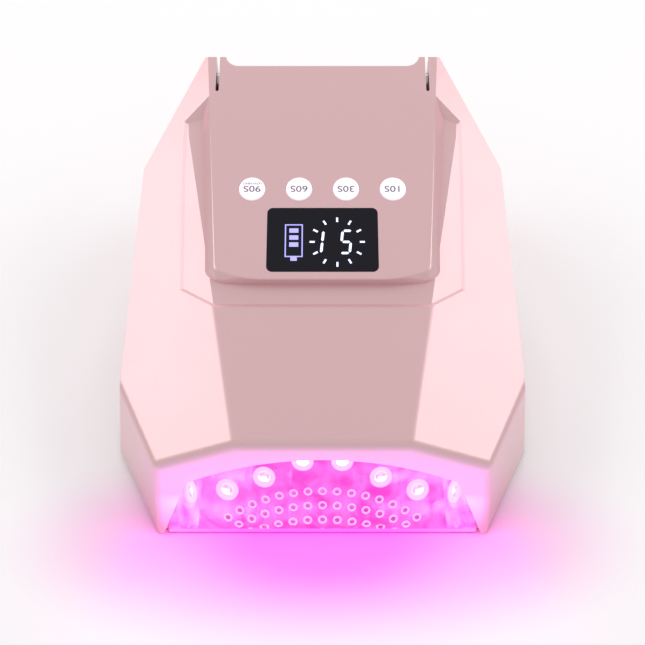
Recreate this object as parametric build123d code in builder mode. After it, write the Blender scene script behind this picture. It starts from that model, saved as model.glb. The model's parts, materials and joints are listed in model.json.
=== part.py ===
from build123d import *
import os
from math import acos, asin, atan2, cos, degrees, hypot, radians, sin, tan

# A table-top UV LED nail lamp, in millimetres. +Z is up, the hand opening faces -Y, and the
# origin is on the table under the middle of the body. Points of the body are given as
# at(x, y, z): x from the middle, y back from the front bottom edge, z up from the underside.

# ---- driving dimensions ---------------------------------------------------------------------
DEPTH = 232.5              # front bottom edge to back bottom edge
FOOT = 2.0                 # rubber feet lift the body off the table
WALL = 2.8                 # moulded casing
ROOF = 2.2                 # casing under the raised panel
TOP_TILT = 16.5            # slope of the middle facet, degrees
LIP = (0, 11.1, 58.9)      # front edge of the middle facet
FRONT_LEAN = 11.8          # front face leans back
SIDE_DRAFT = 7.4
CORNER_DRAFT = 6.9
BACK_DRAFT = 7.0
FACET_POINT = (42.1, 18.6, 61.1)      # a point on the crease of the right-hand side facet
FACET_NORMAL = (0.297, -0.320, 0.900)
REAR_POINT = (92.9, 161.7, 95.2)      # outer end of the crease to the rear facet
REAR_NORMAL = (0.316, -0.290, 0.903)
REAR_TURN = 25.4           # the rear corner walls turn in by this, degrees
FRONT_HALF = 80.5          # half width of the front face at the underside
FRONT_TURN = 62.8          # the front corner walls turn back by this, degrees
SIDE_HALF = 105.5          # half width of the body at the underside

PANEL_LIFT = 4.0           # raised control panel above the middle facet
PANEL_FRONT = 84.4         # distances up the slope, from the lip
PANEL_BACK = 210.4
PANEL_HALF = 52.6          # half width at the panel's front edge
PANEL_FLARE = 0.0644       # it widens towards the back
PANEL_SIDE_SLOPE = 50.0
PANEL_CORNER_R = 8.5
PANEL_RIM_R = 0.7                     # the panel's top edge
CORNER_R = 5.0
CREASE_R = 8.0                        # the facets meet softly
BROW_R = 6.0                          # side facets roll over into the front
RECESS = 1.4               # shallow step round the panel
RECESS_SLOPE = 32.0

WINDOW_W, WINDOW_L, WINDOW_R = 55.2, 35.7, 3.0
WINDOW_MID = 106.3
BUTTON_D, BUTTON_PITCH, BUTTON_ROW = 13.4, 23.7, 135.0
BUTTON_GAP = 0.25
BUTTON_PROUD = 0.5
BUTTON_TRAVEL = 0.6

OPENING_LOW = (77.7, 1.6)       # half width and height of the hand opening's corners
OPENING_HIGH = (64.9, 35.1)
OPENING_TOP = 50.3
CAVITY_BACK = 172.0
SHEET = 1.0                     # thickness of the reflector
TRAY_TOP = 2.6
TRAY_T = 1.2
BASE_T = 1.2

LED_ROWS, LED_PITCH = 4, 26.0
LED_X = (11.3, 32.6, 52.1)
LED_APEX, LED_SWEEP = 78.6, 0.6          # an arch of lamps: y = apex - sweep * x
LED_SIDE = (36.0, 24.0)                  # y and z of the lamp low on each side wall
LED_NECK_R, LED_RIM_R, LED_BORE_R = 5.7, 6.2, 3.65
VENT_D, VENT_PITCH, VENT_ARC_R = 2.8, 8.1, 70.0
VENT_ROWS = ((52.2, 15), (43.2, 13), (34.3, 11), (25.4, 7))

HANDLE_PIVOT = (209.6, 113.8)            # y and z of the carry handle's hinge
HANDLE_GRIP = (212.8, 74.0)
SLOT_X, SLOT_W, SLOT_FRONT = 55.55, 1.7, 194.4
SLOT_DEPTH = 26.0
LUG_X = 51.6                             # inner face of the inner lug
ARM_T, EYE_R, GRIP_R, ROD_R = 1.2, 4.5, 6.0, 2.5
PIN_R = 1.5
PIN_FIT = 0.05
POCKET_X, POCKET_Y = 57.3, 205.0
POCKET_LOW, POCKET_HIGH = 48.0, 104.0
NOTCH_R = 7.0
PIN_END = 60.2                           # how far out the hinge pins' holes reach

FRONT = -DEPTH / 2


def at(x, y, z):
    """A point of the body, in the part's own frame."""
    return Vector(x, FRONT + y, FOOT + z)


def lean(turn, draft):
    """Outward normal of a wall: turn from +X towards +Y, and draft from upright, in degrees."""
    level = cos(radians(draft))
    return (cos(radians(turn)) * level, sin(radians(turn)) * level, sin(radians(draft)))


TOP_NORMAL = (0, -sin(radians(TOP_TILT)), cos(radians(TOP_TILT)))
DECK = Plane(origin=at(*LIP), x_dir=(1, 0, 0), z_dir=TOP_NORMAL)
BACK_NORMAL = lean(90, BACK_DRAFT)
ACROSS = Plane(origin=(0, 0, 0), x_dir=(0, 1, 0), z_dir=(1, 0, 0))


def mirrored(point, side):
    return (side * point[0], point[1], point[2])


def body_faces(grow=0.0, lid=0.0, side_facets=True):
    """The planes that bound the faceted body, moved out by grow; lid also lifts the middle."""
    faces = [
        DECK.offset(grow + lid),
        Plane(origin=at(0, 0, 0), z_dir=lean(-90, FRONT_LEAN)).offset(grow),
        Plane(origin=at(0, DEPTH, 0), z_dir=BACK_NORMAL).offset(grow),
    ]
    sides = [
        (REAR_POINT, REAR_NORMAL),
        ((FRONT_HALF, 0, 0), lean(FRONT_TURN - 90, CORNER_DRAFT)),
        ((SIDE_HALF, 0, 0), lean(0, SIDE_DRAFT)),
        (REAR_POINT, lean(REAR_TURN, BACK_DRAFT)),
    ]
    if side_facets:
        sides.append((FACET_POINT, FACET_NORMAL))
    for side in (1, -1):
        for point, normal in sides:
            plane = Plane(origin=at(*mirrored(point, side)), z_dir=mirrored(normal, side))
            faces.append(plane.offset(grow))
    return faces


def behind(faces, low=0.0, high=140.0):
    """The solid behind all of these planes, between two heights of the body."""
    with BuildPart(mode=Mode.PRIVATE) as solid:
        with BuildSketch(Plane.XY.offset(FOOT + low)):
            Rectangle(1.2 * DEPTH, 1.2 * DEPTH)
        extrude(amount=high - low)
        for face in faces:
            split(bisect_by=face, keep=Keep.BOTTOM)
    return solid.part


def finish(part, name):
    """Name a sub-part and write it out."""
    part.label = name
    os.makedirs("parts", exist_ok=True)
    export_step(part, f"parts/{name}.step")


def deck_point(x, slope, lift):
    """A point x across and slope up the middle facet, lift above it."""
    return DECK.from_local_coords(Vector(x, slope, lift))


def turn(local):
    """A direction given in the middle facet's own axes, in the part's axes."""
    return DECK.from_local_coords(Vector(*local)) - DECK.origin


# ---- outer form of the casing ---------------------------------------------------------------
def panel_faces(inset=0.0, lift=PANEL_LIFT):
    """Planes of the raised panel: flat top, upright front, sloping sides."""
    slope = radians(PANEL_SIDE_SLOPE)
    faces = [
        DECK.offset(lift),
        Plane(origin=deck_point(0, PANEL_FRONT + inset, 0), z_dir=turn((0, -1, 0))),
    ]
    for side in (1, -1):
        corner = deck_point(side * (PANEL_HALF - inset), PANEL_FRONT, PANEL_LIFT)
        out = (side * sin(slope), -PANEL_FLARE * sin(slope), cos(slope))
        faces.append(Plane(origin=corner, z_dir=turn(out)))
    return faces


# edge of the shallow step round the panel, on the side facets: half width, and y
STEP_EDGE = ((52.6, 79.4), (70.4, 91.9), (72.7, 164.8), (72.3, 182.4), (61.0, 192.2))


def on_facet(x, y, point, normal, side):
    """The point of a facet above (x, y)."""
    rise = (normal[0] * (x - point[0]) + normal[1] * (y - point[1])) / normal[2]
    return at(side * x, y, point[2] - rise)


def step_wall(first, last, point, normal, side):
    """One wall of the step through two points of its edge, at a fixed slope to the middle facet."""
    a, b = (DECK.to_local_coords(on_facet(*spot, point, normal, 1)) for spot in (first, last))
    run = b - a
    slope = radians(RECESS_SLOPE)
    spread = degrees(acos(run.Z / tan(slope) / hypot(run.X, run.Y)))
    heading = radians(degrees(atan2(run.Y, run.X)) - spread)
    out = (side * cos(heading) * sin(slope), sin(heading) * sin(slope), -cos(slope))
    return Plane(origin=deck_point(side * a.X, a.Y, a.Z), z_dir=turn(out))


STEP_WALLS = {
    side: [
        step_wall(STEP_EDGE[0], STEP_EDGE[1], FACET_POINT, FACET_NORMAL, side),
        step_wall(STEP_EDGE[1], STEP_EDGE[2], FACET_POINT, FACET_NORMAL, side),
        step_wall(STEP_EDGE[2], STEP_EDGE[3], REAR_POINT, REAR_NORMAL, side),
        step_wall(STEP_EDGE[3], STEP_EDGE[4], REAR_POINT, REAR_NORMAL, side),
    ]
    for side in (1, -1)
}
STEP_FRONT = step_wall((0, STEP_EDGE[0][1]), (1, STEP_EDGE[0][1]), LIP, TOP_NORMAL, 1)

with BuildPart() as recess:
    add(behind([STEP_FRONT] + STEP_WALLS[1] + STEP_WALLS[-1], 40))
    add(behind(body_faces(-RECESS), 30), mode=Mode.SUBTRACT)


def in_panel_top(edge):
    """Whether an edge lies in the panel's top face."""
    return all(abs(DECK.to_local_coords(end.center()).Z - PANEL_LIFT) < 0.01 for end in edge.vertices())


with BuildPart() as panel:
    add(behind(panel_faces() + body_faces(0, PANEL_LIFT, False), 50))
    front_half = panel.edges().filter_by(GeomType.LINE).filter_by_position(Axis.Y, FRONT, FRONT + 100)
    front_corners = front_half.filter_by(
        lambda edge: abs(edge.center().X) > PANEL_HALF - 5 and abs(edge.tangent_at(0.5).Z) > 0.3
    )
    fillet(front_corners, PANEL_CORNER_R)
    rim = panel.edges().filter_by_position(Axis.Y, FRONT, FRONT + 175).filter_by(in_panel_top)
    fillet(rim, PANEL_RIM_R)

with BuildPart() as block:
    add(behind(body_faces()))
    creases = block.edges().filter_by(
        lambda edge: abs(edge.tangent_at(0.5).X) < 0.3 and edge.center().Z > 80 and abs(edge.center().X) < 75
    )
    fillet(creases, CREASE_R)
    brows = block.edges().filter_by_position(Axis.Y, FRONT + 5, FRONT + 16).filter_by(
        lambda edge: abs(edge.center().X) > FRONT_HALF / 4 and edge.center().Z > 47
    )
    fillet(brows, BROW_R)
    upright = block.edges().filter_by(
        lambda edge: abs(edge.tangent_at(0.5).Z) > 0.9 and abs(edge.center().X) > FRONT_HALF / 2
    )
    fillet(upright, CORNER_R)

with BuildPart() as casing:
    add(block.part)
    add(recess.part, mode=Mode.SUBTRACT)
    add(panel.part)
    for side in (1, -1):
        rear_wall = STEP_WALLS[side][-1]
        beyond = Plane(origin=rear_wall.origin, z_dir=rear_wall.z_dir * -1)
        add(behind(body_faces(0, PANEL_LIFT) + [beyond], 60))


# ---- the hand opening and the reflector's section -----------------------------------------------
OPENING_RISE = OPENING_TOP - OPENING_HIGH[1]
CEILING_R = (OPENING_HIGH[0] ** 2 + OPENING_RISE ** 2) / (2 * OPENING_RISE)
CEILING_Z = OPENING_TOP - CEILING_R           # height of the arc's centre
WALL_RUN = (OPENING_LOW[0] - OPENING_HIGH[0]) / (OPENING_HIGH[1] - OPENING_LOW[1])
SECTION_LOW = -20.0


def tunnel(grow, low, front, back):
    """A prism of the hand opening's section, moved out by grow, from front to back."""
    foot = OPENING_LOW[0] + (OPENING_LOW[1] - SECTION_LOW) * WALL_RUN
    half, side_top = OPENING_HIGH
    with BuildPart(mode=Mode.PRIVATE) as prism:
        with BuildSketch(Plane(origin=at(0, front, 0), x_dir=(-1, 0, 0), z_dir=(0, 1, 0))):
            with BuildLine():
                Polyline((-half, side_top), (-foot, SECTION_LOW), (foot, SECTION_LOW), (half, side_top))
                ThreePointArc((-half, side_top), (0, OPENING_TOP), (half, side_top))
            make_face()
            if grow:
                offset(amount=grow, kind=Kind.INTERSECTION)
            with Locations((0, low)):
                Rectangle(4 * half, 4 * half, align=(Align.CENTER, Align.MIN), mode=Mode.INTERSECT)
        extrude(amount=back - front)
    return prism.part


def slab(x_size, y_range, z_range, x_mid=0.0):
    """A plain block of the body's frame."""
    with BuildPart(mode=Mode.PRIVATE) as piece:
        with BuildSketch(Plane.XY.offset(FOOT + z_range[0])):
            with Locations((x_mid, FRONT + (y_range[0] + y_range[1]) / 2)):
                Rectangle(x_size, y_range[1] - y_range[0])
        extrude(amount=z_range[1] - z_range[0])
    return piece.part


# ---- upper shell: one moulding with the panel, the handle pocket and the screw posts ----------
POST_SPOTS = ((90.0, 60.0), (90.0, 150.0), (74.0, 192.0))
POST_R, POST_HOLE_R = 4.0, 1.3
POCKET_WALL = 2.2
BRACKET_POSTS = ((74.0, 118.0), (74.0, 152.0))
BRACKET_Z = 58.4
BOARD_LIFT = -7.4                      # top face of the control board, from the middle facet
BOARD_POSTS = [(side * 44.0, slope) for slope in (92.0, 143.5) for side in (1, -1)]
BOARD_POST_R, BOARD_POST_HOLE_R = 3.0, 0.9


def both_sides(spots):
    return [(side * x, FRONT + y) for x, y in spots for side in (1, -1)]


ABOVE = 130.0                          # clear of the top of the body
PANEL_INNER = PANEL_LIFT - ROOF        # underside of the panel, from the middle facet
LUG_BLOCK = POCKET_X + 2 * POCKET_WALL - LUG_X + 1
LUG_BLOCK_MID = (POCKET_X + LUG_X - 1) / 2
with BuildPart() as hollow:
    add(behind(body_faces(-WALL), -10))
    add(behind(panel_faces(ROOF, PANEL_INNER) + body_faces(-WALL, WALL + PANEL_INNER), 50))
    # left solid: walls round the handle pocket, and the ears and lugs that hold its hinge
    pocket_depth, pocket_height = (POCKET_Y - POCKET_WALL, DEPTH), (POCKET_LOW - POCKET_WALL, ABOVE)
    add(slab(2 * (POCKET_X + POCKET_WALL), pocket_depth, pocket_height), mode=Mode.SUBTRACT)
    for side in (1, -1):
        lug_room = slab(LUG_BLOCK, (HANDLE_PIVOT[0] - 16, DEPTH), (POCKET_HIGH - POCKET_WALL, ABOVE),
                        side * LUG_BLOCK_MID)
        add(lug_room, mode=Mode.SUBTRACT)

with BuildPart() as posts:
    with BuildSketch(Plane.XY.offset(FOOT + BASE_T)):
        with Locations(*both_sides(POST_SPOTS)):
            Circle(POST_R)
    extrude(amount=120)
    with BuildSketch(Plane.XY.offset(FOOT + BRACKET_Z)):
        with Locations(*both_sides(BRACKET_POSTS)):
            Circle(POST_R)
    extrude(amount=60)
    with BuildSketch(DECK.offset(BOARD_LIFT)):
        with Locations(*BOARD_POSTS):
            Circle(BOARD_POST_R)
    extrude(amount=30)
    add(behind(body_faces(-WALL / 2, WALL / 2 + PANEL_LIFT - ROOF / 2)), mode=Mode.INTERSECT)
    with BuildSketch(Plane.XY.offset(FOOT)):
        with Locations(*both_sides(POST_SPOTS)):
            Circle(POST_HOLE_R)
    extrude(amount=20, mode=Mode.SUBTRACT)
    with BuildSketch(Plane.XY.offset(FOOT + BRACKET_Z)):
        with Locations(*both_sides(BRACKET_POSTS)):
            Circle(POST_HOLE_R)
    extrude(amount=8, mode=Mode.SUBTRACT)
    with BuildSketch(DECK.offset(BOARD_LIFT)):
        with Locations(*BOARD_POSTS):
            Circle(BOARD_POST_HOLE_R)
    extrude(amount=5, mode=Mode.SUBTRACT)

BUTTON_X = [BUTTON_PITCH * step for step in (-1.5, -0.5, 0.5, 1.5)]
BACK_WALL = Plane(origin=at(0, DEPTH, 0), x_dir=(-1, 0, 0), z_dir=BACK_NORMAL)
JACK_SPOT = (-38.0, 26.0)              # across and up the back wall, seen from behind
ROCKER_SPOT = (38.0, 26.0)
JACK_R = 5.5
ROCKER_W, ROCKER_H = 19.2, 12.9

with BuildPart() as upper_shell:
    add(casing.part)
    add(hollow.part, mode=Mode.SUBTRACT)
    add(posts.part)
    # hand opening, cut right down through the lower edge
    add(tunnel(0, -5, -5, 22), mode=Mode.SUBTRACT)
    # rear pocket for the folded handle, the notch above it and the two arm slots
    add(slab(2 * POCKET_X, (POCKET_Y, DEPTH + 5), (POCKET_LOW, POCKET_HIGH)), mode=Mode.SUBTRACT)
    with BuildSketch(DECK.offset(PANEL_LIFT + 1)):
        with Locations((0, PANEL_BACK)):
            RectangleRounded(2 * LUG_X, 60, NOTCH_R, align=(Align.CENTER, Align.MIN))
    extrude(amount=-40, mode=Mode.SUBTRACT)
    add(slab(2 * LUG_X, (POCKET_Y, DEPTH), (POCKET_HIGH - 1, POCKET_HIGH + 14)), mode=Mode.SUBTRACT)
    with BuildSketch(DECK.offset(PANEL_LIFT + 1)):
        for side in (1, -1):
            with Locations((side * SLOT_X, SLOT_FRONT)):
                RectangleRounded(SLOT_W, 60, SLOT_W / 2 - 0.01, align=(Align.CENTER, Align.MIN))
    extrude(amount=-SLOT_DEPTH, mode=Mode.SUBTRACT)
    # pivot pin holes: through the inner lug, blind in the outer ear
    for side in (1, -1):
        with BuildSketch(Plane(origin=at(side * (LUG_X - 1), *HANDLE_PIVOT), z_dir=(side, 0, 0))):
            Circle(PIN_R)
        extrude(amount=PIN_END - LUG_X + 1, mode=Mode.SUBTRACT)
    # display window and the four button holes
    with BuildSketch(DECK.offset(PANEL_LIFT + 1)):
        with Locations((0, WINDOW_MID)):
            RectangleRounded(WINDOW_W, WINDOW_L, WINDOW_R)
        with Locations(*[(x, BUTTON_ROW) for x in BUTTON_X]):
            Circle(BUTTON_D / 2 + BUTTON_GAP)
    extrude(amount=-ROOF - 3, mode=Mode.SUBTRACT)
    # inlet and power switch cut-outs in the back wall
    with BuildSketch(BACK_WALL.offset(1)):
        with Locations(JACK_SPOT):
            Circle(JACK_R - 1.0)
        with Locations(ROCKER_SPOT):
            Rectangle(ROCKER_W, ROCKER_H)
    extrude(amount=-WALL - 2, mode=Mode.SUBTRACT)
finish(upper_shell.part, "upper_shell")

# ---- base plate, feet and the slide-out mirror tray ------------------------------------------
FOOT_SPOTS = ((80.0, 40.0), (62.0, 212.0))
FOOT_R = 6.0
SCREW_GAP_R = 1.6                      # clearance holes for the screws
with BuildPart() as base_plate:
    add(behind(body_faces(-WALL - 0.2), 0, BASE_T))
    with BuildSketch(Plane.XY.offset(FOOT)):
        with Locations(*both_sides(POST_SPOTS)):
            Circle(SCREW_GAP_R)
    extrude(amount=BASE_T, mode=Mode.SUBTRACT)
finish(base_plate.part, "base_plate")

with BuildPart() as feet:
    with BuildSketch(Plane.XY):
        with Locations(*both_sides(FOOT_SPOTS)):
            Circle(FOOT_R)
    extrude(amount=FOOT)
    chamfer(feet.edges().group_by(Axis.Z)[0], 0.6)
finish(feet.part, "feet")

TRAY_HALF = 75.5
TRAY_LIP = (1.0, 3.0)                 # front and back of the finger lip
with BuildPart() as tray:
    add(slab(2 * TRAY_HALF, (TRAY_LIP[1], CAVITY_BACK - 1.5), (TRAY_TOP - TRAY_T, TRAY_TOP)))
    add(slab(2 * TRAY_HALF, TRAY_LIP, (0.3, TRAY_TOP + 0.8)))
    fillet(tray.edges().filter_by(Axis.Z).group_by(Axis.Y)[-1], 6)
finish(tray.part, "tray")

# ---- reflector: a bright sheet tunnel with vent holes and lamp holes ----------------------
REFLECTOR_LOW = 3.0
SENSOR_Z = 34.0
REFLECTOR_GAP = 0.6
INNER_FACE = Plane(origin=at(0, 0, 0), z_dir=lean(-90, FRONT_LEAN)).offset(-WALL - 0.2)


def ceiling_spots(row):
    """x and y of the six ceiling lamps in one arch."""
    return [(side * x, LED_APEX - LED_SWEEP * x + row * LED_PITCH) for x in LED_X for side in (1, -1)]


def lamp_planes():
    """A plane on the reflector at every lamp, facing away from the hand."""
    radius = CEILING_R + REFLECTOR_GAP
    planes = []
    for row in range(LED_ROWS):
        for x, y in ceiling_spots(row):
            tip = asin(x / radius)
            spot = at(x, y, CEILING_Z + radius * cos(tip))
            planes.append(Plane(origin=spot, x_dir=(0, 1, 0), z_dir=(sin(tip), 0, cos(tip))))
        y, z = LED_SIDE
        lean_out = atan2(WALL_RUN, 1)
        for side in (1, -1):
            x = OPENING_LOW[0] - (z - OPENING_LOW[1]) * WALL_RUN + REFLECTOR_GAP / cos(lean_out)
            normal = (side * cos(lean_out), 0, sin(lean_out))
            spot = at(side * x, y + row * LED_PITCH, z)
            planes.append(Plane(origin=spot, x_dir=(0, 1, 0), z_dir=normal))
    return planes


LAMPS = lamp_planes()


def vent_spots():
    """Rows of holes on arcs in front of the first arch of lamps."""
    spots = []
    for apex, count in VENT_ROWS:
        for index in range(count):
            angle = (index - (count - 1) / 2) * VENT_PITCH / VENT_ARC_R
            drop = VENT_ARC_R * (1 - cos(angle))
            spots.append((VENT_ARC_R * sin(angle), FRONT + apex - drop))
    return spots


with BuildPart() as reflector:
    add(tunnel(REFLECTOR_GAP + SHEET, REFLECTOR_LOW, 0, CAVITY_BACK))
    add(tunnel(REFLECTOR_GAP, REFLECTOR_LOW - 1, -1, CAVITY_BACK - SHEET), mode=Mode.SUBTRACT)
    split(bisect_by=INNER_FACE, keep=Keep.BOTTOM)
    with BuildSketch(Plane.XY.offset(FOOT + OPENING_HIGH[1])):
        with Locations(*vent_spots()):
            Circle(VENT_D / 2)
    extrude(amount=OPENING_RISE + 5, mode=Mode.SUBTRACT)
    for plane in LAMPS:
        with BuildSketch(plane.offset(-1)):
            Circle(LED_NECK_R + 0.15)
        extrude(amount=SHEET + 2, mode=Mode.SUBTRACT)
    with BuildSketch(Plane(origin=at(0, CAVITY_BACK + 1, SENSOR_Z), x_dir=(1, 0, 0), z_dir=(0, -1, 0))):
        with Locations((-5, 0), (5, 0)):
            Circle(2.6)
    extrude(amount=SHEET + 2, mode=Mode.SUBTRACT)
finish(reflector.part, "reflector")

# ---- lamps: collar, emitter and clear dome for each, on curved and side boards ----------------
RIM_T = 0.7
CURVE_SLACK = 0.15                     # flat rims and boards stay off the curved sheet by this
BOARD_GAP = 4.4                        # reflector's inner face to the lamp boards
LED_BOARD_T = 1.2
LED_BOARD_Y = (26.0, 166.0)
LED_BOARD_HALF = 60.0
LED_BOARD_W = 14.0                     # side boards
LENS_TOP, LENS_L, LENS_ROUND = 0.4, 3.4, 1.9
CHIP, CHIP_T = 3.6, 1.0
with BuildPart() as led_collars:
    for plane in LAMPS:
        with BuildSketch(plane.offset(-RIM_T - CURVE_SLACK)):
            Circle(LED_RIM_R)
            Circle(LED_BORE_R, mode=Mode.SUBTRACT)
        extrude(amount=RIM_T)
        with BuildSketch(plane.offset(-CURVE_SLACK)):
            Circle(LED_NECK_R)
            Circle(LED_BORE_R, mode=Mode.SUBTRACT)
        extrude(amount=BOARD_GAP)
finish(led_collars.part, "led_collars")

with BuildPart() as led_chips:
    for plane in LAMPS:
        with BuildSketch(plane.offset(BOARD_GAP - CHIP_T - CURVE_SLACK)):
            Rectangle(CHIP, CHIP)
        extrude(amount=CHIP_T)
finish(led_chips.part, "led_chips")

with BuildPart() as led_lenses:
    for plane in LAMPS:
        with BuildSketch(plane.offset(-LENS_TOP)):
            Circle(LED_BORE_R - 0.1)
        extrude(amount=LENS_L)
    tops = [plane.offset(-LENS_TOP).origin for plane in LAMPS]
    rims = led_lenses.edges().filter_by(GeomType.CIRCLE).filter_by(
        lambda edge: min((edge.arc_center - top).length for top in tops) < 0.1
    )
    fillet(rims, LENS_ROUND)
finish(led_lenses.part, "led_lenses")

board_low = REFLECTOR_GAP + BOARD_GAP
with BuildPart() as led_board_top:
    add(tunnel(board_low + LED_BOARD_T, OPENING_HIGH[1], *LED_BOARD_Y))
    inside = tunnel(board_low, OPENING_HIGH[1] - 5, LED_BOARD_Y[0] - 1, LED_BOARD_Y[1] + 1)
    add(inside, mode=Mode.SUBTRACT)
    add(slab(2 * LED_BOARD_HALF, LED_BOARD_Y, (30, 80)), mode=Mode.INTERSECT)
finish(led_board_top.part, "led_board_top")

for side, name in ((1, "led_board_right"), (-1, "led_board_left")):
    lamp = LAMPS[6] if side == 1 else LAMPS[7]
    with BuildPart() as led_board:
        with BuildSketch(lamp.offset(BOARD_GAP)):
            with Locations((LED_PITCH * (LED_ROWS - 1) / 2, 0)):
                Rectangle(LED_PITCH * LED_ROWS, LED_BOARD_W)
        extrude(amount=LED_BOARD_T)
    finish(led_board.part, name)

# ---- control panel: window, display, buttons, switches and their board ------------------------
WINDOW_T = 1.2
WINDOW_SINK = 0.1
DISPLAY_TOP = 2.2
BOARD_T = 1.6
BOARD_W, BOARD_RANGE = 94.0, (86.0, 147.0)

with BuildPart() as display_window:
    with BuildSketch(DECK.offset(PANEL_LIFT - WINDOW_SINK - WINDOW_T)):
        with Locations((0, WINDOW_MID)):
            RectangleRounded(WINDOW_W - 0.3, WINDOW_L - 0.3, WINDOW_R - 0.15)
    extrude(amount=WINDOW_T)
finish(display_window.part, "display_window")

with BuildPart() as display_module:
    with BuildSketch(DECK.offset(BOARD_LIFT)):
        with Locations((0, WINDOW_MID)):
            Rectangle(WINDOW_W - 2.4, WINDOW_L - 1.6)
    extrude(amount=DISPLAY_TOP - BOARD_LIFT)
finish(display_module.part, "display_module")

with BuildPart() as control_board:
    with BuildSketch(DECK.offset(BOARD_LIFT - BOARD_T)):
        with Locations((0, sum(BOARD_RANGE) / 2)):
            RectangleRounded(BOARD_W, BOARD_RANGE[1] - BOARD_RANGE[0], 2)
        with Locations(*BOARD_POSTS):
            Circle(1.2, mode=Mode.SUBTRACT)
    extrude(amount=BOARD_T)
finish(control_board.part, "control_board")

SWITCH, SWITCH_T, PLUNGER_R = 6.0, 3.4, 1.7
SWITCH_TOP = BOARD_LIFT + 4.2
STEM_END = SWITCH_TOP + BUTTON_TRAVEL + 0.1
STEM_R = 2.0
FLANGE = (PANEL_INNER - 1.2, PANEL_INNER - 0.2)      # it keeps the button in its hole
FLANGE_R = BUTTON_D / 2 + 1.2
for x, name in zip(BUTTON_X, ("button_90s", "button_60s", "button_30s", "button_10s")):
    with BuildPart() as button:
        with BuildSketch(DECK.offset(FLANGE[0])):
            with Locations((x, BUTTON_ROW)):
                Circle(BUTTON_D / 2)
        extrude(amount=PANEL_LIFT + BUTTON_PROUD - FLANGE[0])
        fillet(button.edges().sort_by(Axis.Z)[-1], 0.6)
        with BuildSketch(DECK.offset(FLANGE[0])):
            with Locations((x, BUTTON_ROW)):
                Circle(FLANGE_R)
        extrude(amount=FLANGE[1] - FLANGE[0])
        with BuildSketch(DECK.offset(STEM_END)):
            with Locations((x, BUTTON_ROW)):
                Circle(STEM_R)
        extrude(amount=FLANGE[0] - STEM_END)
    finish(button.part, name)

with BuildPart() as tact_switches:
    with BuildSketch(DECK.offset(BOARD_LIFT)):
        with Locations(*[(x, BUTTON_ROW) for x in BUTTON_X]):
            Rectangle(SWITCH, SWITCH)
    extrude(amount=SWITCH_T)
    with BuildSketch(DECK.offset(BOARD_LIFT + SWITCH_T)):
        with Locations(*[(x, BUTTON_ROW) for x in BUTTON_X]):
            Circle(PLUNGER_R)
    extrude(amount=SWITCH_TOP - BOARD_LIFT - SWITCH_T)
finish(tact_switches.part, "tact_switches")

BUZZER_SPOT, BUZZER_R = (37.5, 112.0), 5.0
with BuildPart() as buzzer:
    with BuildSketch(DECK.offset(BOARD_LIFT)):
        with Locations(BUZZER_SPOT):
            Circle(BUZZER_R)
            Circle(BUZZER_R / 5, mode=Mode.SUBTRACT)
    extrude(amount=BUZZER_R)
finish(buzzer.part, "buzzer")


def cross_screws(seat, spots, head_r, head_t, shank_r, shank_l):
    """Cross-head screws: heads on the near side of the seat plane, shanks beyond it."""
    with BuildPart(mode=Mode.PRIVATE) as screws:
        with BuildSketch(seat):
            with Locations(*spots):
                Circle(head_r)
        extrude(amount=-head_t)
        with BuildSketch(seat):
            with Locations(*spots):
                Circle(shank_r)
        extrude(amount=shank_l)
        with BuildSketch(seat.offset(-head_t)):
            with Locations(*spots):
                Rectangle(1.3 * head_r, 0.3 * head_r)
                Rectangle(0.3 * head_r, 1.3 * head_r)
        extrude(amount=head_t / 2, mode=Mode.SUBTRACT)
    return screws.part


with BuildPart() as board_screws:
    add(cross_screws(DECK.offset(BOARD_LIFT - BOARD_T), BOARD_POSTS, 2.2, 1.4, BOARD_POST_HOLE_R - 0.05, 5))
finish(board_screws.part, "board_screws")

# ---- rechargeable pack on its bracket, over the lamps --------------------------------------------
CELL_R, CELL_L = 9.15, 65.0
CELL_Y = (124.0, 143.2)
CELL_Z = BRACKET_Z + CELL_R + 0.1
BRACKET_T = 1.2
BRACKET_Y = (112.0, 157.0)
BRACKET_HALF, RIB_HALF, RIB_H = 79.0, 66.0, 7.0

with BuildPart() as battery_bracket:
    add(slab(2 * BRACKET_HALF, BRACKET_Y, (BRACKET_Z - BRACKET_T, BRACKET_Z)))
    for y in (BRACKET_Y[0], BRACKET_Y[1] - BRACKET_T):
        add(slab(2 * RIB_HALF, (y, y + BRACKET_T), (BRACKET_Z, BRACKET_Z + RIB_H)))
    with BuildSketch(Plane.XY.offset(FOOT + BRACKET_Z - BRACKET_T)):
        with Locations(*both_sides(BRACKET_POSTS)):
            Circle(SCREW_GAP_R)
    extrude(amount=BRACKET_T, mode=Mode.SUBTRACT)
finish(battery_bracket.part, "battery_bracket")

with BuildPart() as battery_cells:
    for y in CELL_Y:
        for x in (-CELL_L - 0.5, 0.5):
            with BuildSketch(Plane(origin=at(x, y, CELL_Z), z_dir=(1, 0, 0))):
                Circle(CELL_R)
            extrude(amount=CELL_L)
finish(battery_cells.part, "battery_cells")

STRAP_R, STRAP_T, STRAP_W = CELL_R + 0.15, 0.8, 8.0
STRAP_X = (-38.0, 30.0)


def strap_loop(reach):
    """The strap's outline round both cells, reach from their middles, open at the bracket."""
    left, right = FRONT + CELL_Y[0], FRONT + CELL_Y[1]
    mid, low = FOOT + CELL_Z, FOOT + BRACKET_Z
    with BuildSketch(ACROSS, mode=Mode.PRIVATE) as loop:
        with BuildLine():
            Polyline((left - reach, mid), (left - reach, low), (right + reach, low), (right + reach, mid))
            RadiusArc((right + reach, mid), (right, mid + reach), -reach)
            Line((right, mid + reach), (left, mid + reach))
            RadiusArc((left, mid + reach), (left - reach, mid), -reach)
        make_face()
    return loop.sketch


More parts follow.
